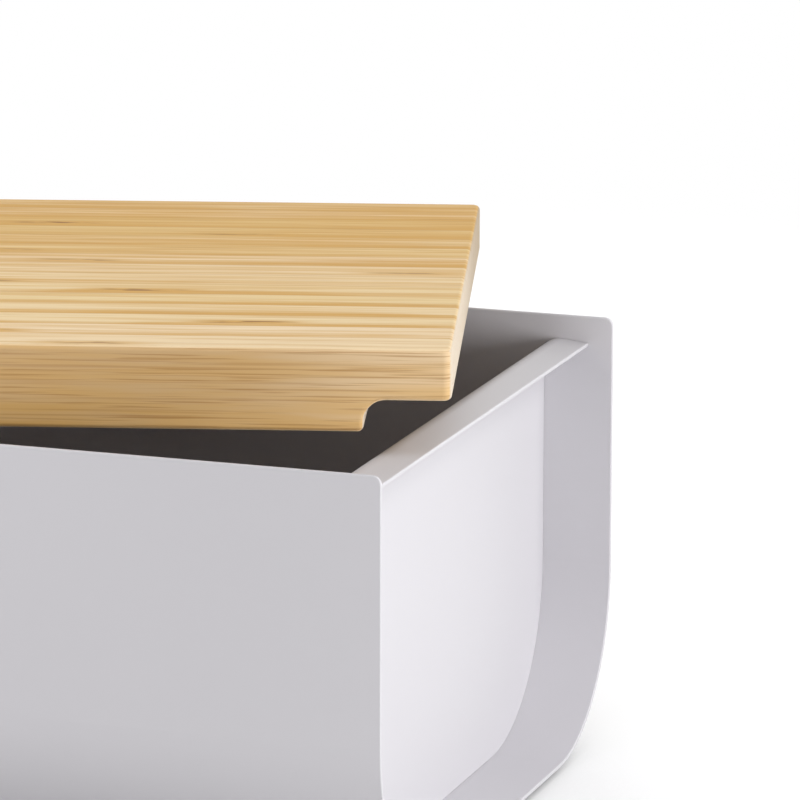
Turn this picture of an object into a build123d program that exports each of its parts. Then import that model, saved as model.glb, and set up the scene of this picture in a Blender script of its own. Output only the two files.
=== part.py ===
from build123d import *
import os
from math import cos, radians

# Bread box: a trough folded from one steel sheet, two end panels welded into it,
# and a loose lid glued up from bamboo staves that doubles as a cutting board.
# Millimetres. X runs along the length, the front wall is at -Y, Z is up,
# and the origin is on the table under the middle of the box.

# Folded trough
box_length = 340.0
box_depth = 210.0
wall_height = 125.0
sheet = 1.2
bend_radius = 49.5
rim_corner_radius = 2.5
cut_edge_rounding = 0.4

# End panels, each with a hand grip folded outwards along its top
panel_recess = 21.1
grip_drop = 7.1
grip_setback = 7.5
grip_bend_radius = 6.0
grip_droop = 6.0
weld_gap = 0.1
weld_leg = 2.0

# Feet
foot_diameter = 12.0
foot_height = 2.0
foot_edge_rounding = 0.5
foot_from_end = 32.0
foot_from_bend = 12.0

# Lid
lid_thickness = 23.2
lid_rebate_depth = 8.8
lid_end_setback = 0.0
lid_end_clearance = 1.6
lid_side_clearance = 0.6
lid_rebate_rounding = 6.0
lid_plug_rounding = 1.7
lid_corner_radius = 2.5
lid_edge_rounding = 1.4
stave_count = 15

# Where the lid lies: turned askew, flat on the rims of the front and back walls
lid_turn = 16.1
lid_shift_x = -20.0
lid_shift_y = -0.5

# Levels and faces that several pieces share
trough_base = foot_height
floor_inside = trough_base + sheet
rim = trough_base + wall_height
grip_crown = rim - grip_drop
panel_outer_x = box_length / 2 - panel_recess
panel_inner_x = panel_outer_x - sheet
grip_edge_x = box_length / 2 - grip_setback
inner_depth = box_depth - 2 * sheet
inner_radius = bend_radius - sheet
panel_depth = inner_depth - 2 * weld_gap

lid_length = box_length - 2 * lid_end_setback
lid_depth = inner_depth - 2 * lid_side_clearance
lid_plug_half_length = panel_inner_x - lid_end_clearance
seat_rounding = min(lid_rebate_rounding, grip_bend_radius + lid_end_clearance)
stave_width = lid_depth / stave_count


def trough_outline(depth, base, top, radius):
    """Upright face across the box: straight sides and two rounded lower corners."""
    face = Pos(0, (base + top) / 2) * Rectangle(depth, top - base)
    lower_corners = face.vertices().group_by(Axis.Y)[0]
    return Plane.YZ * fillet(lower_corners, radius)


def along_length(face, start, end):
    """Solid that carries an upright face along X from start to end."""
    return extrude(Pos(start, 0, 0) * face, amount=end - start)


def wrap_shell():
    """Front wall, floor and back wall, folded from one sheet along two wide bends."""
    half = box_length / 2
    outside = trough_outline(box_depth, trough_base, rim, bend_radius)
    above_rim = rim + sheet
    inside = trough_outline(inner_depth, floor_inside, above_rim, inner_radius)
    shell = along_length(outside, -half, half) - along_length(inside, -half, half)
    rim_corners = shell.edges().filter_by(Axis.Y).group_by(Axis.Z)[-1]
    shell = fillet(rim_corners, rim_corner_radius)
    return fillet(cut_edges(shell), cut_edge_rounding)


def cut_edges(shell):
    """The long edges of the sheet's cut faces: both end outlines, the rims and their corners."""
    end_faces = shell.faces().filter_by(Axis.X)
    rim_faces = shell.faces().filter_by(Axis.Z).group_by(Axis.Z)[-1]
    corner_faces = shell.faces().filter_by(
        lambda face: face.geom_type == GeomType.CYLINDER
        and abs(face.radius - rim_corner_radius) < 0.01
    )
    edges = (end_faces + rim_faces + corner_faces).edges()
    return edges.filter_by(lambda edge: edge.length > 1.5 * sheet)


def end_panel():
    """Right end panel: an upright plate whose top folds outwards into a drooping hand grip."""
    plate = Line((panel_inner_x, floor_inside), (panel_inner_x, grip_crown - grip_bend_radius))
    fold = JernArc(plate @ 1, plate % 1, grip_bend_radius, -(90 + grip_droop))
    grip_reach = (grip_edge_x - (fold @ 1).X) / cos(radians(grip_droop))
    grip = PolarLine(fold @ 1, grip_reach, direction=fold % 1)
    section = make_face(offset(Curve() + [plate, fold, grip], sheet, side=Side.RIGHT))
    folded = extrude(Plane.XZ * section, amount=panel_depth / 2, both=True)
    free_edges = folded.edges().filter_by(Axis.Y).sort_by(Axis.X)[-2:]
    folded = fillet(free_edges, cut_edge_rounding)
    room = trough_outline(panel_depth, floor_inside + weld_gap, rim, inner_radius - weld_gap)
    return folded & along_length(room, panel_inner_x - sheet, box_length / 2)


def weld_bead():
    """Fillet weld inside the box, in the corner between the right end panel and the trough."""
    bead_top = grip_crown - lid_rebate_depth - weld_leg
    leg_x = panel_inner_x - weld_leg
    at_trough = trough_outline(inner_depth, floor_inside, bead_top, inner_radius)
    at_panel = trough_outline(
        inner_depth - 2 * weld_leg, floor_inside + weld_leg, bead_top, inner_radius - weld_leg
    )
    hollow = loft([Pos(leg_x, 0, 0) * at_trough, Pos(panel_inner_x, 0, 0) * at_panel], ruled=True)
    return along_length(at_trough, leg_x, panel_inner_x) - hollow


def foot():
    """Round pad with a softened lower rim, standing on the table at the origin."""
    pad = Cylinder(foot_diameter / 2, foot_height, align=(Align.CENTER, Align.CENTER, Align.MIN))
    tread_edge = pad.edges().group_by(Axis.Z)[0]
    return fillet(tread_edge, foot_edge_rounding)


def lid_board():
    """Whole lid about its own middle: a board whose ends are rebated to sit on the hand grips."""
    half = lid_length / 2
    plug = lid_plug_half_length
    outline = Polyline(
        (-plug, 0),
        (plug, 0),
        (plug, lid_rebate_depth),
        (half, lid_rebate_depth),
        (half, lid_thickness),
        (-half, lid_thickness),
        (-half, lid_rebate_depth),
        (-plug, lid_rebate_depth),
        close=True,
    )
    section = make_face(outline)
    shoulders = section.vertices().sort_by(Axis.Y)[2:6].sort_by(lambda v: abs(v.X))[:2]
    section = fillet(shoulders, seat_rounding)
    plug_corners = section.vertices().group_by(Axis.Y)[0]
    section = fillet(plug_corners, lid_plug_rounding)
    board = extrude(Plane.XZ * section, amount=lid_depth / 2, both=True)
    corners = board.edges().filter_by(Axis.Z).sort_by(lambda edge: abs(edge.center().X))[-4:]
    board = fillet(corners, lid_corner_radius)
    return fillet(lid_outline_edges(board), lid_edge_rounding)


def lid_outline_edges(board):
    """Edges round the lid's top and underside, along its front, back, ends and rounded corners."""
    near_end = lid_length / 2 - lid_corner_radius
    near_side = lid_depth / 2 - lid_corner_radius
    outer_faces = board.faces().filter_by(
        lambda face: abs(face.center().X) > near_end or abs(face.center().Y) > near_side
    )
    return outer_faces.edges().filter_by(
        lambda edge: abs(edge.tangent_at(0.5).Z) < 0.99 or abs(edge.center().X) < near_end
    )


def lid_stave(board, index):
    """One bamboo stave of the glued board, counted from the front."""
    front = -lid_depth / 2 + index * stave_width
    slab = Pos(0, front + stave_width / 2, lid_thickness / 2) * Box(
        2 * lid_length, stave_width, 2 * lid_thickness
    )
    return board & slab


def save(shape, node):
    export_step(shape, f"parts/{node}.step")


def main():
    os.makedirs("parts", exist_ok=True)
    save(wrap_shell(), "wrap_shell")

    for side, turn in (("right", 0), ("left", 180)):
        save(Rot(0, 0, turn) * end_panel(), f"end_panel_{side}")
        save(Rot(0, 0, turn) * weld_bead(), f"weld_bead_{side}")

    foot_x = box_length / 2 - foot_from_end
    foot_y = box_depth / 2 - bend_radius - foot_from_bend
    for depth_name, y in (("front", -foot_y), ("back", foot_y)):
        for side, x in (("left", -foot_x), ("right", foot_x)):
            save(Pos(x, y, 0) * foot(), f"foot_{depth_name}_{side}")

    board = lid_board()
    place = Pos(lid_shift_x, lid_shift_y, rim) * Rot(0, 0, lid_turn)
    for index in range(stave_count):
        save(place * lid_stave(board, index), f"lid_stave_{index + 1:02d}")


main()
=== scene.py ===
from math import atan2, cos, pi, radians, sin

import bmesh
import bpy
from bpy.props import FloatProperty, FloatVectorProperty, IntProperty, PointerProperty
from bpy.types import Operator, Panel, PropertyGroup
from mathutils import Matrix, Vector


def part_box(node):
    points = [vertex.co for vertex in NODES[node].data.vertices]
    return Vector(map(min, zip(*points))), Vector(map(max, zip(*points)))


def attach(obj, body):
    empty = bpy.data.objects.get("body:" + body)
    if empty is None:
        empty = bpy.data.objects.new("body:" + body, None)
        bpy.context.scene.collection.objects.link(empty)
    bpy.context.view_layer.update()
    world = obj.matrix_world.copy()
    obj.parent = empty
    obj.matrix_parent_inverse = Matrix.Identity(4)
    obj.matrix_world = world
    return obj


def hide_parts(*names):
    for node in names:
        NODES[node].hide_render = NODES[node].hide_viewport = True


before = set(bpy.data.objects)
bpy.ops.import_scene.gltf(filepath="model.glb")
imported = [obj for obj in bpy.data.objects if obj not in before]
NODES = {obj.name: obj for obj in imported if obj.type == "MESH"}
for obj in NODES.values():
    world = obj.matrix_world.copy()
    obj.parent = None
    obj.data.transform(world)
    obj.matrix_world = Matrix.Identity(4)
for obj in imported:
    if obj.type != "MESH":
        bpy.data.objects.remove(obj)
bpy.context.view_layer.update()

bl_info = {
    "name": "Bread Box Finish",
    "version": (1, 0, 0),
    "blender": (4, 5, 0),
    "location": "View3D > Sidebar > Bread Box",
    "description": "Dresses a folded steel bread box and its bamboo lid, and sets a white studio round it",
    "category": "Object",
}

MM = 0.001
WHITE = (1.0, 1.0, 1.0, 1.0)

# Points closer together than this become one
TOUCHING = 0.001 * MM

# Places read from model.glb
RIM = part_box("wrap_shell")[1].z
STAVES = sorted(name for name in NODES if name.startswith("lid_stave_"))
PADS = sorted(name for name in NODES if name.startswith("foot_"))
BEADS = sorted(name for name in NODES if name.startswith("weld_bead_"))
PANELS = sorted(name for name in NODES if name.startswith("end_panel_"))
LAST_STAVE = len(STAVES) - 1


def middle(node):
    """Centre of a node's box."""
    low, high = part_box(node)
    return (low + high) / 2


# The lid's own axes: across the staves, from the front one to the back one
LID_CENTRE = (middle(STAVES[0]) + middle(STAVES[-1])) / 2
ACROSS = middle(STAVES[-1]) - middle(STAVES[0])
STAVE_WIDTH = ACROSS.length / LAST_STAVE
LID_TURN = atan2(-ACROSS.x, ACROSS.y)
LID_DEPTH = STAVE_WIDTH * len(STAVES)

# Powder coat: faint clouds, and how far they shift its colour and its gloss
PAINT_CLOUDS_PER_METRE = 9.0
PAINT_LIGHTER = 1.012
PAINT_DARKER = 0.985
PAINT_GLOSS_SHIFT = 0.03

# Rubber: size and height of its grain, and the bloom on it
RUBBER_GRAIN_SIZE = 0.35 * MM
RUBBER_GRAIN_HEIGHT = 0.02 * MM
RUBBER_BLOOM = 1.25

# Bamboo: random seeds and shifts of the pattern from stave to stave, in millimetres along and up
LOT_SEED = 7.3
OTHER_LOT_SEED = 31.8
SHIFT_ALONG = 900.0
SHIFT_UP = 60.0

# How far the mark of one fibre reaches into the wood, in millimetres
FIBRE_REACH = 40.0

# Streaks of the lid's top and underside, as length and width in millimetres
CLOUD_STREAK = (90.0, 30.0)
RIBBON_STREAK = (80.0, 2.4)
FINE_STREAK = (60.0, 0.9)
HAIR_STREAK = (40.0, 0.5)
FLECK_STREAK = (9.0, 1.2)

# Streaks of its front and back edges, as length and height in millimetres
EDGE_RIBBON = (48.0, 3.0)
EDGE_LONG_HAIR = (70.0, 0.6)
EDGE_SHORT_HAIR = (30.0, 0.42)

# Fibre bundles on its cut ends, as length, width and height in millimetres
END_BUNDLE = (400.0, 0.9, 0.9)

# Combed surface of the whole lid: fibre sizes in millimetres, its bump, and its gloss
COMBED_FIBRE = (60.0, 0.6, 0.6)
COMBED_HEIGHT = 0.03 * MM
COMBED_STRENGTH = 0.6
COMBED_GLOSSIER = 0.06
COMBED_MATTER = 0.10
WOOD_SPECULAR = 0.12

# Honey bands: least width and spread as shares of a stave, and half the width of the dark glue line
BAND_LEAST = 0.34
BAND_SPREAD = 0.45
GLUE_LINE = 0.025

# Knuckles: spread of their starts in spacings, and their place across a stave as a share of its width
KNUCKLE_STARTS = 5.0
KNUCKLE_LEAST = 0.08
KNUCKLE_SPREAD = 0.3

# Where a knuckle's halo and core fade, in millimetres along a stave and shares of its width
HALO_LENGTH = (6.0, 24.0)
HALO_WIDTH = (0.06, 0.30)
CORE_LENGTH = (5.0, 16.0)
CORE_WIDTH = (0.03, 0.15)

# Where the edges stop being golden, going up, and turn pale, going outwards, in millimetres
EDGE_GOLDEN = (-9.0, 3.0)
EDGE_PALING = (95.0, 165.0)

# Facings over which an edge becomes an end, and an edge or an end becomes the top
END_ANGLES = (radians(45), radians(66))
TOP_SLOPES = (0.5, 0.88)

# Section of a pad, from the middle of its tread round to the middle of its top: how far along, how much
PAD_RINGS = 41
PAD_REACH = ((0, 0), (0.2, 0.34), (0.3, 0.42), (0.5, 0.9), (0.6, 1), (0.75, 0.97), (1, 0))
PAD_LEVEL = ((0, 0), (0.5, 0), (0.6, 0.25), (0.75, 1), (1, 1))
PAD_HOLLOW = ((0, 1), (0.2, 0.9), (0.3, 0), (1, 0))

# Welds: points round a bend, steps in a ripple and points round the section
BEND_POINTS = 48
RIPPLE_STEPS = 4
BEAD_POINTS = 7

# Soft square lamps: place, side in metres, watts, and whether glossy surfaces show it
LAMPS = {
    "right_low_lamp": ((0.97, -0.39, 0.14), 0.36, 5.65, True),
    "right_high_lamp": ((0.9, 0.13, 0.72), 0.5, 4.8, True),
    "back_lamp": ((0.35, 0.8, 0.9), 0.5, 1.6, True),
    "back_fill_lamp": ((-0.35, 1.1, 0.35), 0.5, 3.6, False),
    "left_fill_lamp": ((-1.1, 0.1, 0.3), 0.4, 3.6, False),
    "front_lamp": ((-0.6, -0.48, 0.42), 0.35, 2.15, True),
    "front_high_lamp": ((-0.35, -0.5, 0.6), 0.3, 2.1, True),
}

# Floor: its sides, the share of its radius where it starts to fade, and its grey
FLOOR_SIDES = 96
FLOOR_FADE_START = 0.5
FLOOR_GREY = (0.6, 0.6, 0.6, 1.0)

# Glow that makes the open floor white, glow that it throws back, and reach of the shade under the box
FLOOR_LIFT = 0.61
FLOOR_BOUNCE = 0.06
SHADE_REACH = 0.2
SHADE_SAMPLES = 8

# Places of the colour sockets on a Mix node
MIX_FACTOR = 0
MIX_FIRST = 6
MIX_SECOND = 7
MIX_RESULT = 2


class PaintSettings(PropertyGroup):
    """Powder coat on the steel."""

    colour: FloatVectorProperty(
        name="Colour", description="Pale grey of the coat", subtype="COLOR",
        size=4, min=0.0, max=1.0, default=(0.575, 0.562, 0.59, 1.0),
    )
    roughness: FloatProperty(
        name="Roughness", description="Satin of the coat", subtype="FACTOR",
        min=0.0, max=1.0, default=0.46,
    )
    peel_size: FloatProperty(
        name="Peel size", description="Width of one bump of the orange peel",
        unit="LENGTH", min=0.0001, default=1.3 * MM,
    )
    peel_height: FloatProperty(
        name="Peel height", description="Height of the orange peel",
        unit="LENGTH", min=0.0, default=0.004 * MM,
    )


class BeadSettings(PropertyGroup):
    """Welds inside the box."""

    bend_radius: FloatProperty(
        name="Bend radius", description="Inside radius of the trough's long bends",
        unit="LENGTH", min=0.001, default=48.3 * MM,
    )
    ripple_length: FloatProperty(
        name="Ripple length", description="Spacing of the ripples along a weld",
        unit="LENGTH", min=0.0005, default=1.8 * MM,
    )
    ripple_height: FloatProperty(
        name="Ripple height", description="Swell of a ripple as a share of the weld's leg",
        subtype="FACTOR", min=0.0, max=0.5, default=0.08,
    )


class PadSettings(PropertyGroup):
    """Pads under the floor."""

    colour: FloatVectorProperty(
        name="Colour", description="Grey of the pads", subtype="COLOR",
        size=4, min=0.0, max=1.0, default=(0.30, 0.30, 0.305, 1.0),
    )
    dimple_depth: FloatProperty(
        name="Dimple depth", description="Hollow in the middle of a pad's tread",
        unit="LENGTH", min=0.0, default=0.4 * MM,
    )
    sides: IntProperty(
        name="Sides", description="Facets round a pad", min=12, default=64,
    )


class BambooSettings(PropertyGroup):
    """Bamboo of the lid."""

    cream: FloatVectorProperty(
        name="Cream", description="Palest staves", subtype="COLOR",
        size=4, min=0.0, max=1.0, default=(0.83, 0.655, 0.44, 1.0),
    )
    straw: FloatVectorProperty(
        name="Straw", description="Yellower staves", subtype="COLOR",
        size=4, min=0.0, max=1.0, default=(0.74, 0.565, 0.265, 1.0),
    )
    honey: FloatVectorProperty(
        name="Honey", description="Dense side of a stave, beside the joint", subtype="COLOR",
        size=4, min=0.0, max=1.0, default=(0.61, 0.355, 0.1, 1.0),
    )
    vessel: FloatVectorProperty(
        name="Vessel", description="Thin dark fibres", subtype="COLOR",
        size=4, min=0.0, max=1.0, default=(0.36, 0.18, 0.055, 1.0),
    )
    knuckle: FloatVectorProperty(
        name="Knuckle", description="Dark marks where the cane had its joints", subtype="COLOR",
        size=4, min=0.0, max=1.0, default=(0.2, 0.09, 0.03, 1.0),
    )
    side: FloatVectorProperty(
        name="Side", description="Front and back edges of the lid", subtype="COLOR",
        size=4, min=0.0, max=1.0, default=(0.585, 0.39, 0.195, 1.0),
    )
    end_grain: FloatVectorProperty(
        name="End grain", description="Pale cut ends of the front staves", subtype="COLOR",
        size=4, min=0.0, max=1.0, default=(0.62, 0.533, 0.427, 1.0),
    )
    # Painted shade: a darker cut-end colour for the back staves, standing in for light that falls off
    # towards the back of the lid's end
    back_end_painted_shade: FloatVectorProperty(
        name="Back end grain", description="Browner cut ends of the back staves", subtype="COLOR",
        size=4, min=0.0, max=1.0, default=(0.41, 0.325, 0.228, 1.0),
    )
    knuckle_spacing: FloatProperty(
        name="Knuckle spacing", description="Distance between the dark marks along a stave",
        unit="LENGTH", min=0.05, default=210 * MM,
    )
    roughness: FloatProperty(
        name="Roughness", description="Sheen of the oiled wood", subtype="FACTOR",
        min=0.0, max=1.0, default=0.55,
    )


class StageSettings(PropertyGroup):
    """Camera, room and floor."""

    camera_place: FloatVectorProperty(
        name="Camera place", description="Where the camera stands", subtype="TRANSLATION",
        unit="LENGTH", size=3, default=(0.65405, -1.49709, 0.48725),
    )
    camera_yaw: FloatProperty(
        name="Camera yaw", description="Turn of the camera to the left",
        subtype="ANGLE", default=radians(18.98),
    )
    camera_pitch: FloatProperty(
        name="Camera pitch", description="Downward tilt of the camera",
        subtype="ANGLE", default=radians(12.977),
    )
    camera_roll: FloatProperty(
        name="Camera roll", description="Sideways tilt of the camera",
        subtype="ANGLE", default=radians(0.11),
    )
    lens: FloatProperty(
        name="Lens", description="Focal length in millimetres on a 36 mm sensor", default=259.9,
    )
    floor_radius: FloatProperty(
        name="Floor radius", description="Where the pale floor has faded out",
        unit="LENGTH", default=0.9,
    )
    ambient: FloatProperty(
        name="Ambient", description="Strength of the white room round the object", default=0.3,
    )


class NodeSheet:
    """A node tree with short ways to add nodes and link them."""

    def __init__(self, tree):
        self.tree = tree

    def add(self, kind, inputs=None, **settings):
        """New node; inputs maps a socket's name or place to a value or to another socket."""
        made = self.tree.nodes.new(kind)
        for key, value in settings.items():
            setattr(made, key, value)
        for key, value in (inputs or {}).items():
            self.feed(made.inputs[key], value)
        return made

    def feed(self, socket, value):
        """Links a socket to another one, or sets its value."""
        if isinstance(value, bpy.types.NodeSocket):
            self.tree.links.new(value, socket)
        else:
            socket.default_value = value

    def maths(self, operation, *values):
        made = self.add("ShaderNodeMath", dict(enumerate(values)), operation=operation)
        return made.outputs[0]

    def chain(self, operation, first, *others):
        """Result of one maths operation carried on from value to value."""
        for other in others:
            first = self.maths(operation, first, other)
        return first

    def vector(self, operation, *values, output=0):
        made = self.add("ShaderNodeVectorMath", dict(enumerate(values)), operation=operation)
        return made.outputs[output]

    def scale(self, vector, factor):
        """Vector times a number."""
        made = self.add("ShaderNodeVectorMath", {0: vector, "Scale": factor}, operation="SCALE")
        return made.outputs[0]

    def stretch(self, vector, sizes):
        """Vector scaled so that a pattern of size one is drawn out to a size along each axis."""
        return self.vector("MULTIPLY", vector, [1 / size for size in sizes])

    def ease(self, value, low, high, to_low=0.0, to_high=1.0):
        """Smooth step of a value from one range to another."""
        inputs = {
            "Value": value, "From Min": low, "From Max": high, "To Min": to_low, "To Max": to_high,
        }
        return self.add("ShaderNodeMapRange", inputs, interpolation_type="SMOOTHSTEP").outputs[0]

    def mix(self, factor, first, second):
        """Colour that goes from the first to the second with the factor."""
        inputs = {MIX_FACTOR: factor, MIX_FIRST: first, MIX_SECOND: second}
        return self.add("ShaderNodeMix", inputs, data_type="RGBA").outputs[MIX_RESULT]

    def noise(self, vector, detail=2.0, roughness=0.5):
        inputs = {"Vector": vector, "Scale": 1.0, "Detail": detail, "Roughness": roughness}
        return self.add("ShaderNodeTexNoise", inputs).outputs["Fac"]

    def bump(self, height, distance, strength=1.0):
        """Normal of a surface that a height raises by up to a distance."""
        inputs = {"Strength": strength, "Distance": distance, "Height": height}
        return self.add("ShaderNodeBump", inputs).outputs[0]


def bare_material(name):
    """Node material with nothing in it, and its sheet."""
    material = bpy.data.materials.new(name)
    material.use_nodes = True
    material.node_tree.nodes.clear()
    return material, NodeSheet(material.node_tree)


def new_material(name):
    """Node material with its sheet and a Principled shader that feeds the output."""
    material, sheet = bare_material(name)
    shader = sheet.add("ShaderNodeBsdfPrincipled")
    sheet.add("ShaderNodeOutputMaterial", {"Surface": shader.outputs[0]})
    return material, sheet, shader


def set_inputs(sheet, shader, **inputs):
    """Sets or links a shader's sockets, named with underscores for spaces."""
    for name, value in inputs.items():
        sheet.feed(shader.inputs[name.replace("_", " ")], value)


def shade(colour, factor):
    """Opaque colour made lighter or darker."""
    return (*(Vector(colour) * factor)[:3], 1.0)


def powder_coat(settings):
    """Satin pale grey coat with a very fine orange peel and faint clouding."""
    material, sheet, shader = new_material("powder_coat")
    place = sheet.add("ShaderNodeTexCoord").outputs["Object"]
    peel = sheet.noise(sheet.scale(place, 1 / settings.peel_size), detail=1.5)
    cloud = sheet.noise(sheet.scale(place, PAINT_CLOUDS_PER_METRE))
    dark = shade(settings.colour, PAINT_DARKER)
    light = shade(settings.colour, PAINT_LIGHTER)
    glossy = settings.roughness - PAINT_GLOSS_SHIFT
    matt = settings.roughness + PAINT_GLOSS_SHIFT
    set_inputs(
        sheet, shader,
        Base_Color=sheet.mix(cloud, dark, light),
        Roughness=sheet.ease(cloud, 0.3, 0.7, glossy, matt),
        Normal=sheet.bump(peel, settings.peel_height),
    )
    return material


def rubber(settings):
    """Matt grey rubber with a dusty bloom."""
    material, sheet, shader = new_material("pad_rubber")
    place = sheet.add("ShaderNodeTexCoord").outputs["Object"]
    grain = sheet.noise(sheet.scale(place, 1 / RUBBER_GRAIN_SIZE), detail=3.0)
    bloom = shade(settings.colour, RUBBER_BLOOM)
    set_inputs(
        sheet, shader,
        Base_Color=sheet.mix(sheet.ease(grain, 0.45, 0.75), settings.colour, bloom),
        Roughness=sheet.ease(grain, 0.2, 0.8, 0.62, 0.78),
        Normal=sheet.bump(grain, RUBBER_GRAIN_HEIGHT),
    )
    return material


def lid_coordinates(sheet):
    """Place on the lid in millimetres along its length, across its staves and up from its middle."""
    place = sheet.add("ShaderNodeTexCoord").outputs["Object"]
    back = Matrix.Rotation(-LID_TURN, 3, "Z")
    mapping = sheet.add(
        "ShaderNodeMapping",
        {
            "Vector": place,
            "Location": -(back @ LID_CENTRE) / MM,
            "Rotation": (0.0, 0.0, -LID_TURN),
            "Scale": (1 / MM, 1 / MM, 1 / MM),
        },
    )
    return mapping.outputs[0]


class LidGrain:
    """Places and fibre patterns that the colours of the lid share."""

    def __init__(self, sheet):
        self.sheet = sheet
        place = lid_coordinates(sheet)
        self.along, self.across, self.up = sheet.add("ShaderNodeSeparateXYZ", {0: place}).outputs
        from_front = sheet.maths("ADD", self.across, LID_DEPTH / 2 / MM)
        counted = sheet.maths("DIVIDE", from_front, STAVE_WIDTH / MM)
        number = sheet.maths("MINIMUM", sheet.maths("FLOOR", counted), LAST_STAVE)
        self.number = sheet.maths("MAXIMUM", number, 0.0)
        self.within = sheet.maths("SUBTRACT", counted, self.number)
        self.draws = self.draw_lots(LOT_SEED)
        self.other_draws = self.draw_lots(OTHER_LOT_SEED)
        shift_along = sheet.maths("MULTIPLY", self.draws[0], SHIFT_ALONG)
        shift_up = sheet.maths("MULTIPLY", self.draws[1], SHIFT_UP)
        shift = sheet.add("ShaderNodeCombineXYZ", {"X": shift_along, "Z": shift_up})
        self.place = sheet.vector("ADD", place, shift.outputs[0])

    def draw_lots(self, seed):
        """Three random draws for each stave."""
        seeded = self.sheet.maths("ADD", self.number, seed)
        lots = self.sheet.add("ShaderNodeTexWhiteNoise", {"W": seeded}, noise_dimensions="1D")
        return self.sheet.add("ShaderNodeSeparateColor", {0: lots.outputs["Color"]}).outputs

    def fibres(self, sizes, detail=2.0, roughness=0.5):
        """Solid noise drawn out along the lid and shifted from stave to stave; sizes in millimetres."""
        return self.sheet.noise(self.sheet.stretch(self.place, sizes), detail, roughness)

    def top_fibres(self, streak, detail=2.0, roughness=0.5):
        """Streaks on the top and underside."""
        length, width = streak
        return self.fibres((length, width, FIBRE_REACH), detail, roughness)

    def edge_fibres(self, streak, detail=2.0):
        """Streaks on the front and back edges."""
        length, height = streak
        return self.fibres((length, FIBRE_REACH, height), detail)

    def facing(self, axis):
        """How squarely a surface faces along an axis, either way."""
        normal = self.sheet.add("ShaderNodeTexCoord").outputs["Normal"]
        square = self.sheet.vector("DOT_PRODUCT", normal, axis, output=1)
        return self.sheet.maths("ABSOLUTE", square)


def honey_share(grain):
    """How much honey the top shows: a band at each front joint, streaks, and more towards the back."""
    sheet = grain.sheet
    maths, ease = sheet.maths, sheet.ease
    clouds = grain.top_fibres(CLOUD_STREAK)
    ribbons = grain.top_fibres(RIBBON_STREAK)
    fine = grain.top_fibres(FINE_STREAK, detail=3.0, roughness=0.6)
    width = maths("ADD", BAND_LEAST, maths("MULTIPLY", grain.draws[1], BAND_SPREAD))
    width = maths("MULTIPLY", width, ease(clouds, 0.3, 0.7, 0.7, 1.3))
    band = ease(maths("DIVIDE", grain.within, width), 0.1, 1.0, 1.0, 0.0)
    strength = sheet.chain(
        "MULTIPLY",
        ease(clouds, 0.34, 0.60, 0.30, 1.0),
        ease(grain.draws[2], 0.0, 0.7, 0.30, 1.0),
        ease(grain.number, 0.0, 2.0, 0.0, 0.95),
    )
    return sheet.chain(
        "ADD",
        maths("MULTIPLY", band, strength),
        ease(ribbons, 0.35, 0.70, -0.08, 0.42),
        ease(fine, 0.3, 0.72, -0.11, 0.22),
        ease(grain.number, 2.0, LAST_STAVE, 0.0, 0.56),
    )


def knuckle_marks(grain, spacing):
    """Marks where the cane had its joints, on a stave's dense side: a honey halo and a dark core."""
    sheet = grain.sheet
    maths, ease = sheet.maths, sheet.ease
    start = maths("MULTIPLY", grain.other_draws[1], KNUCKLE_STARTS)
    turn = maths("FRACT", maths("ADD", maths("DIVIDE", grain.along, spacing), start))
    distance = maths("MULTIPLY", maths("ABSOLUTE", maths("SUBTRACT", turn, 0.5)), spacing)
    height = maths("ADD", KNUCKLE_LEAST, maths("MULTIPLY", grain.other_draws[2], KNUCKLE_SPREAD))
    aside = maths("ABSOLUTE", maths("SUBTRACT", grain.within, height))
    strength = ease(grain.draws[2], 0.1, 0.9, 0.5, 1.0)
    halo = sheet.chain(
        "MULTIPLY",
        ease(distance, *HALO_LENGTH, 0.95, 0.0),
        ease(aside, *HALO_WIDTH, 1.0, 0.0),
        strength,
    )
    core = sheet.chain(
        "MULTIPLY",
        ease(distance, *CORE_LENGTH, 0.9, 0.0),
        ease(aside, *CORE_WIDTH, 1.0, 0.0),
        ease(grain.top_fibres(FLECK_STREAK), 0.44, 0.60),
        strength,
    )
    return halo, core


def stave_colour(grain, settings):
    """Top and underside: each stave fades from a honey band at its front joint to pale wood."""
    sheet = grain.sheet
    maths, ease, mix = sheet.maths, sheet.ease, sheet.mix
    yellowing = maths("MULTIPLY", grain.other_draws[0], ease(grain.number, 0.0, 6.0, 0.3, 1.0))
    colour = mix(yellowing, settings.cream, settings.straw)
    colour = mix(honey_share(grain), colour, settings.honey)
    hair = grain.top_fibres(HAIR_STREAK)
    colour = mix(ease(hair, 0.57, 0.72, 0.0, 0.36), colour, settings.vessel)
    from_joint = maths("PINGPONG", grain.within, 0.5)
    colour = mix(ease(from_joint, 0.0, GLUE_LINE, 0.4, 0.0), colour, settings.vessel)
    halo, core = knuckle_marks(grain, settings.knuckle_spacing / MM)
    colour = mix(halo, colour, settings.honey)
    return mix(core, colour, settings.knuckle)


def edge_colour(grain, settings):
    """Front and back edges: tan, more golden low down, paler at the ends, combed with thin vessels."""
    sheet = grain.sheet
    ease, mix = sheet.ease, sheet.mix
    ribbons = ease(grain.edge_fibres(EDGE_RIBBON), 0.3, 0.7, -0.08, 0.42)
    tone = sheet.maths("ADD", ribbons, ease(grain.up, *EDGE_GOLDEN, 0.30, 0.0))
    from_middle = sheet.maths("ABSOLUTE", grain.along)
    colour = mix(ease(from_middle, *EDGE_PALING, 0.0, 0.5), settings.side, settings.cream)
    colour = mix(tone, colour, settings.honey)
    long_hair = grain.edge_fibres(EDGE_LONG_HAIR, detail=1.0)
    colour = mix(ease(long_hair, 0.50, 0.70, 0.0, 0.34), colour, settings.vessel)
    short_hair = grain.edge_fibres(EDGE_SHORT_HAIR, detail=1.0)
    return mix(ease(short_hair, 0.56, 0.72, 0.0, 0.55), colour, settings.vessel)


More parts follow.
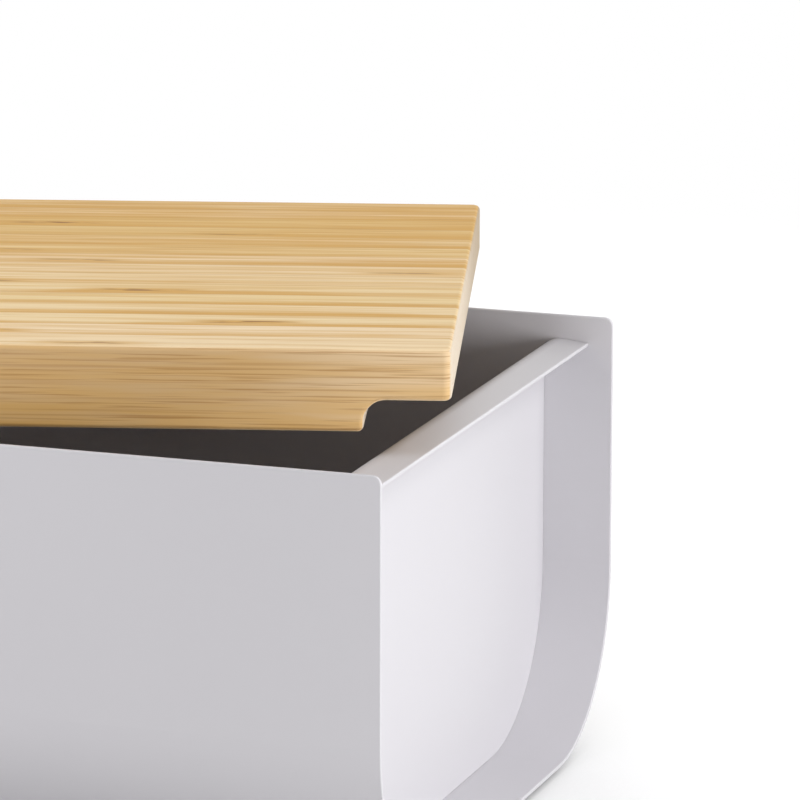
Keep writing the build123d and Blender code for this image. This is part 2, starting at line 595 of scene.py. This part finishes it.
def end_colour(grain, settings):
    """Cut ends: pale in front, browner at the back, with the dots of the fibre bundles."""
    sheet = grain.sheet
    bundles = sheet.stretch(grain.place, END_BUNDLE)
    cells = sheet.add("ShaderNodeTexVoronoi", {"Vector": bundles, "Scale": 1.0})
    dots = sheet.ease(cells.outputs["Distance"], 0.15, 0.42, 0.32, 0.0)
    # Painted shade: the cut ends darken from stave to stave towards the back
    painted_shade_backwards = sheet.ease(grain.number, 3.0, LAST_STAVE)
    cut = sheet.mix(painted_shade_backwards, settings.end_grain, settings.back_end_painted_shade)
    return sheet.mix(dots, cut, settings.honey)


def bamboo(settings):
    """Edge-glued bamboo with long fibres, darker edges and pale end grain."""
    material, sheet, shader = new_material("bamboo")
    grain = LidGrain(sheet)
    to_end = grain.facing((cos(LID_TURN), sin(LID_TURN), 0.0))
    to_side = grain.facing((-sin(LID_TURN), cos(LID_TURN), 0.0))
    endwise = sheet.ease(sheet.maths("ARCTAN2", to_end, to_side), *END_ANGLES)
    flat = sheet.ease(grain.facing((0.0, 0.0, 1.0)), *TOP_SLOPES)
    rim = sheet.mix(endwise, edge_colour(grain, settings), end_colour(grain, settings))
    combed = grain.fibres(COMBED_FIBRE, detail=3.0, roughness=0.6)
    glossy = settings.roughness - COMBED_GLOSSIER
    matt = settings.roughness + COMBED_MATTER
    set_inputs(
        sheet, shader,
        Base_Color=sheet.mix(flat, rim, stave_colour(grain, settings)),
        Roughness=sheet.ease(combed, 0.25, 0.75, glossy, matt),
        Specular_IOR_Level=WOOD_SPECULAR,
        Normal=sheet.bump(combed, COMBED_HEIGHT, COMBED_STRENGTH),
    )
    return material


def dress(names, material):
    """Gives CAD nodes a material."""
    for name in names:
        slots = NODES[name].data.materials
        slots.clear()
        slots.append(material)


def grown_mesh(name, points, edges, tree, inputs):
    """Plain mesh that a Geometry Nodes tree grows from a few points and edges."""
    seed = bpy.data.meshes.new(name)
    seed.from_pydata(points, edges, [])
    piece = bpy.data.objects.new(name, seed)
    bpy.context.scene.collection.objects.link(piece)
    modifier = piece.modifiers.new("grow", "NODES")
    modifier.node_group = tree
    for socket in tree.interface.items_tree:
        if socket.name in inputs:
            modifier[socket.identifier] = inputs[socket.name]
    bpy.context.view_layer.update()
    evaluated = piece.evaluated_get(bpy.context.evaluated_depsgraph_get())
    grown = bpy.data.meshes.new_from_object(evaluated)
    piece.modifiers.remove(modifier)
    piece.data = grown
    shape = bmesh.new()
    shape.from_mesh(grown)
    bmesh.ops.remove_doubles(shape, verts=shape.verts, dist=TOUCHING)
    bmesh.ops.recalc_face_normals(shape, faces=shape.faces)
    shape.to_mesh(grown)
    shape.free()
    bpy.data.meshes.remove(seed)
    return piece


def new_growth(name, sizes):
    """Geometry Nodes tree with named size inputs; returns its sheet, group input and group output."""
    tree = bpy.data.node_groups.new(name, "GeometryNodeTree")
    tree.interface.new_socket("Geometry", in_out="INPUT", socket_type="NodeSocketGeometry")
    for size, kind in sizes.items():
        tree.interface.new_socket(size, in_out="INPUT", socket_type=kind)
    tree.interface.new_socket("Geometry", in_out="OUTPUT", socket_type="NodeSocketGeometry")
    sheet = NodeSheet(tree)
    return sheet, sheet.add("NodeGroupInput").outputs, sheet.add("NodeGroupOutput").inputs


def end_growth(sheet, shape, material, result):
    """Realises, smooths and coats what a tree grows, and hands it out."""
    shape = sheet.add("GeometryNodeRealizeInstances", {"Geometry": shape}).outputs[0]
    shape = sheet.add("GeometryNodeSetShadeSmooth", {"Geometry": shape}).outputs[0]
    shape = sheet.add("GeometryNodeSetMaterial", {"Geometry": shape, "Material": material}).outputs[0]
    sheet.feed(result["Geometry"], shape)


def bead_growth(material):
    """A rippled weld along a squared path whose corners are rounded by the bend."""
    names = ("Leg", "Bend Radius", "Ripple Length", "Ripple Height", "Start Angle")
    sheet, given, result = new_growth("weld_bead_growth", dict.fromkeys(names, "NodeSocketFloat"))
    path = sheet.add("GeometryNodeMeshToCurve", {"Mesh": given["Geometry"]}).outputs[0]
    path = sheet.add(
        "GeometryNodeFilletCurve",
        {"Curve": path, "Radius": given["Bend Radius"], "Count": BEND_POINTS},
        mode="POLY",
    ).outputs[0]
    step = sheet.maths("DIVIDE", given["Ripple Length"], RIPPLE_STEPS)
    resampled = {"Curve": path, "Length": step}
    path = sheet.add("GeometryNodeResampleCurve", resampled, mode="LENGTH").outputs[0]
    travel = sheet.add("GeometryNodeSplineParameter").outputs["Length"]
    phase = sheet.maths("MULTIPLY", sheet.maths("DIVIDE", travel, given["Ripple Length"]), 2 * pi)
    swell = sheet.maths("MULTIPLY", sheet.maths("SINE", phase), given["Ripple Height"])
    size = sheet.maths("SUBTRACT", sheet.maths("ADD", 1.0, swell), given["Ripple Height"])
    section = sheet.add(
        "GeometryNodeCurveArc",
        {
            "Resolution": BEAD_POINTS, "Radius": given["Leg"], "Start Angle": given["Start Angle"],
            "Sweep Angle": pi / 2, "Connect Center": True,
        },
        mode="RADIUS",
    ).outputs[0]
    bead = sheet.add(
        "GeometryNodeCurveToMesh",
        {"Curve": path, "Profile Curve": section, "Scale": size, "Fill Caps": True},
    ).outputs[0]
    end_growth(sheet, bead, material, result)
    return sheet.tree


def pad_growth(material):
    """Round pads, one on each point: a grid wrapped round an axis along a pad's section."""
    sizes = dict.fromkeys(("Radius", "Height", "Dimple"), "NodeSocketFloat")
    sheet, given, result = new_growth("foot_pad_growth", {**sizes, "Sides": "NodeSocketInt"})
    maths = sheet.maths
    around = maths("ADD", given["Sides"], 1)
    grid = sheet.add(
        "GeometryNodeMeshGrid",
        {"Size X": 1.0, "Size Y": 1.0, "Vertices X": around, "Vertices Y": PAD_RINGS},
    ).outputs[0]
    position = sheet.add("GeometryNodeInputPosition").outputs[0]
    spot = sheet.add("ShaderNodeSeparateXYZ", {0: position}).outputs
    angle = maths("MULTIPLY", maths("ADD", spot[0], 0.5), 2 * pi)
    travel = maths("ADD", spot[1], 0.5)
    radius = maths("MULTIPLY", pad_section(sheet, travel, PAD_REACH), given["Radius"])
    level = maths("MULTIPLY", pad_section(sheet, travel, PAD_LEVEL), given["Height"])
    hollow = maths("MULTIPLY", pad_section(sheet, travel, PAD_HOLLOW), given["Dimple"])
    wrapped = sheet.add(
        "ShaderNodeCombineXYZ",
        {
            "X": maths("MULTIPLY", radius, maths("COSINE", angle)),
            "Y": maths("MULTIPLY", radius, maths("SINE", angle)),
            "Z": maths("ADD", level, hollow),
        },
    ).outputs[0]
    pad = sheet.add("GeometryNodeSetPosition", {"Geometry": grid, "Position": wrapped}).outputs[0]
    pad = sheet.add("GeometryNodeMergeByDistance", {"Geometry": pad, "Distance": TOUCHING}).outputs[0]
    placed = {"Points": given["Geometry"], "Instance": pad}
    pads = sheet.add("GeometryNodeInstanceOnPoints", placed).outputs[0]
    end_growth(sheet, pads, material, result)
    return sheet.tree


def pad_section(sheet, travel, points):
    """Straight-sided curve of one measure of a pad along its section."""
    curve = sheet.add("ShaderNodeFloatCurve", {"Value": travel})
    line = curve.mapping.curves[0]
    while len(line.points) < len(points):
        line.points.new(0.5, 0.5)
    for spot, place in zip(line.points, points):
        spot.location = place
        spot.handle_type = "VECTOR"
    curve.mapping.update()
    return curve.outputs[0]


class BREADBOX_OT_paint_steel(Operator):
    """Coats the folded trough and both end panels"""

    bl_idname = "breadbox.paint_steel"
    bl_label = "Paint Steel"

    def execute(self, context):
        dress(["wrap_shell", *PANELS], powder_coat(context.scene.bread_paint))
        return {"FINISHED"}


class BREADBOX_OT_lay_welds(Operator):
    """Lays a rippled weld in the inside corner of each end panel"""

    bl_idname = "breadbox.lay_welds"
    bl_label = "Lay Welds"

    def execute(self, context):
        settings = context.scene.bread_beads
        tree = bead_growth(bpy.data.materials["powder_coat"])
        for name in BEADS:
            low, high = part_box(name)
            at_right = high.x > 0
            face = high.x if at_right else low.x
            path = [
                (face, low.y, high.z),
                (face, low.y, low.z),
                (face, high.y, low.z),
                (face, high.y, high.z),
            ]
            runs = [(0, 1), (1, 2), (2, 3)]
            inputs = {
                "Leg": high.x - low.x,
                "Bend Radius": settings.bend_radius,
                "Ripple Length": settings.ripple_length,
                "Ripple Height": settings.ripple_height,
                "Start Angle": pi if at_right else 1.5 * pi,
            }
            bead = grown_mesh(name.replace("bead", "ripple"), path, runs, tree, inputs)
            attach(bead, "box")
            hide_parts(name)
        return {"FINISHED"}


class BREADBOX_OT_fit_pads(Operator):
    """Fits the round pads under the floor"""

    bl_idname = "breadbox.fit_pads"
    bl_label = "Fit Pads"

    def execute(self, context):
        settings = context.scene.bread_pads
        low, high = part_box(PADS[0])
        spots = [Vector((middle(name).x, middle(name).y, low.z)) for name in PADS]
        inputs = {
            "Radius": (high.x - low.x) / 2,
            "Height": high.z - low.z,
            "Dimple": settings.dimple_depth,
            "Sides": settings.sides,
        }
        pads = grown_mesh("foot_pads", spots, [], pad_growth(rubber(settings)), inputs)
        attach(pads, "box")
        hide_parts(*PADS)
        return {"FINISHED"}


class BREADBOX_OT_finish_lid(Operator):
    """Gives the lid's staves their bamboo"""

    bl_idname = "breadbox.finish_lid"
    bl_label = "Finish Lid"

    def execute(self, context):
        dress(STAVES, bamboo(context.scene.bread_bamboo))
        return {"FINISHED"}


class BREADBOX_OT_set_stage(Operator):
    """Sets the camera, the lamps, the white room and the floor"""

    bl_idname = "breadbox.set_stage"
    bl_label = "Set Stage"

    def execute(self, context):
        settings = context.scene.bread_stage
        place_camera(context.scene, settings)
        for name, lamp in LAMPS.items():
            hang_lamp(context.scene, name, *lamp)
        white_room(context.scene, settings)
        lay_floor(context.scene, settings)
        context.scene.view_settings.view_transform = "Standard"
        return {"FINISHED"}


def place_camera(scene, settings):
    """Camera at its place, turned, tilted and rolled."""
    data = bpy.data.cameras.new("camera")
    data.lens = settings.lens
    camera = bpy.data.objects.new("camera", data)
    turned = Matrix.Rotation(settings.camera_yaw, 4, "Z")
    tilted = Matrix.Rotation(pi / 2 - settings.camera_pitch, 4, "X")
    rolled = Matrix.Rotation(settings.camera_roll, 4, "Z")
    camera.matrix_world = Matrix.Translation(settings.camera_place) @ turned @ tilted @ rolled
    scene.collection.objects.link(camera)
    scene.camera = camera


def hang_lamp(scene, name, place, side, power, shine):
    """Square soft lamp that the camera doesn't see, and without shine no glossy surface either."""
    data = bpy.data.lights.new(name, "AREA")
    data.shape = "SQUARE"
    data.size = side
    data.energy = power
    lamp = bpy.data.objects.new(name, data)
    lamp.location = place
    to_box = Vector((0.0, 0.0, RIM / 2)) - Vector(place)
    lamp.rotation_euler = to_box.to_track_quat("-Z", "Y").to_euler()
    lamp.visible_camera = False
    lamp.visible_glossy = shine
    scene.collection.objects.link(lamp)


def seeing(sheet, rays):
    """One for rays that show what the camera sees, straight or mirrored, and nought for the others."""
    mirrored = sheet.maths("MAXIMUM", rays["Is Glossy Ray"], rays["Is Transmission Ray"])
    return sheet.maths("MAXIMUM", rays["Is Camera Ray"], mirrored)


def white_room(scene, settings):
    """World that lights softly, and that the camera and reflections see as plain white."""
    world = bpy.data.worlds.new("white_room")
    world.use_nodes = True
    world.node_tree.nodes.clear()
    sheet = NodeSheet(world.node_tree)
    seen = seeing(sheet, sheet.add("ShaderNodeLightPath").outputs)
    strength = sheet.ease(seen, 0.0, 1.0, settings.ambient, 1.0)
    background = sheet.add("ShaderNodeBackground", {"Color": WHITE, "Strength": strength})
    sheet.add("ShaderNodeOutputWorld", {"Surface": background.outputs[0]})
    scene.world = world


def floor_white(radius):
    """White that keeps the shadow, fades out towards a radius and is clear from below."""
    material, sheet = bare_material("floor_white")
    maths = sheet.maths
    place = sheet.add("ShaderNodeTexCoord").outputs["Object"]
    distance = sheet.vector("LENGTH", place, output=1)
    fade = sheet.ease(distance, FLOOR_FADE_START * radius, radius)
    rays = sheet.add("ShaderNodeLightPath").outputs
    shading = sheet.add("ShaderNodeAmbientOcclusion", {"Distance": SHADE_REACH}, samples=SHADE_SAMPLES)
    shown = sheet.chain("MULTIPLY", seeing(sheet, rays), shading.outputs["AO"], FLOOR_LIFT)
    glow = maths("ADD", shown, maths("MULTIPLY", rays["Is Diffuse Ray"], FLOOR_BOUNCE))
    lift = sheet.add("ShaderNodeEmission", {"Color": WHITE, "Strength": glow})
    diffuse = sheet.add("ShaderNodeBsdfDiffuse", {"Color": FLOOR_GREY})
    white = sheet.add("ShaderNodeAddShader", {0: diffuse.outputs[0], 1: lift.outputs[0]})
    clear = sheet.add("ShaderNodeBsdfTransparent")
    below = sheet.add("ShaderNodeNewGeometry").outputs["Backfacing"]
    away = maths("MAXIMUM", fade, below)
    surface = sheet.add("ShaderNodeMixShader", {0: away, 1: white.outputs[0], 2: clear.outputs[0]})
    sheet.add("ShaderNodeOutputMaterial", {"Surface": surface.outputs[0]})
    return material


def lay_floor(scene, settings):
    """Round white floor under the box."""
    shape = bmesh.new()
    bmesh.ops.create_circle(shape, cap_ends=True, segments=FLOOR_SIDES, radius=settings.floor_radius)
    mesh = bpy.data.meshes.new("floor")
    shape.to_mesh(mesh)
    shape.free()
    mesh.materials.append(floor_white(settings.floor_radius))
    floor = bpy.data.objects.new("floor", mesh)
    scene.collection.objects.link(floor)


class BREADBOX_PT_sidebar(Panel):
    """Steps that dress the bread box, in order"""

    bl_idname = "BREADBOX_PT_sidebar"
    bl_label = "Bread Box"
    bl_space_type = "VIEW_3D"
    bl_region_type = "UI"
    bl_category = "Bread Box"

    def draw(self, context):
        for step in STEPS:
            self.layout.operator(step.bl_idname)
        for name, group in SETTINGS.items():
            column = self.layout.column(heading=group.__doc__)
            for field in group.__annotations__:
                column.prop(getattr(context.scene, name), field)


SETTINGS = {
    "bread_paint": PaintSettings,
    "bread_beads": BeadSettings,
    "bread_pads": PadSettings,
    "bread_bamboo": BambooSettings,
    "bread_stage": StageSettings,
}
STEPS = (
    BREADBOX_OT_paint_steel,
    BREADBOX_OT_lay_welds,
    BREADBOX_OT_fit_pads,
    BREADBOX_OT_finish_lid,
    BREADBOX_OT_set_stage,
)
CLASSES = (*SETTINGS.values(), *STEPS, BREADBOX_PT_sidebar)


def register():
    for item in CLASSES:
        bpy.utils.register_class(item)
    for name, group in SETTINGS.items():
        setattr(bpy.types.Scene, name, PointerProperty(type=group))


def unregister():
    for name in SETTINGS:
        delattr(bpy.types.Scene, name)
    for item in reversed(CLASSES):
        bpy.utils.unregister_class(item)


def main():
    register()
    bpy.ops.breadbox.paint_steel()
    bpy.ops.breadbox.lay_welds()
    bpy.ops.breadbox.fit_pads()
    bpy.ops.breadbox.finish_lid()
    bpy.ops.breadbox.set_stage()


if __name__ == "__main__":
    main()
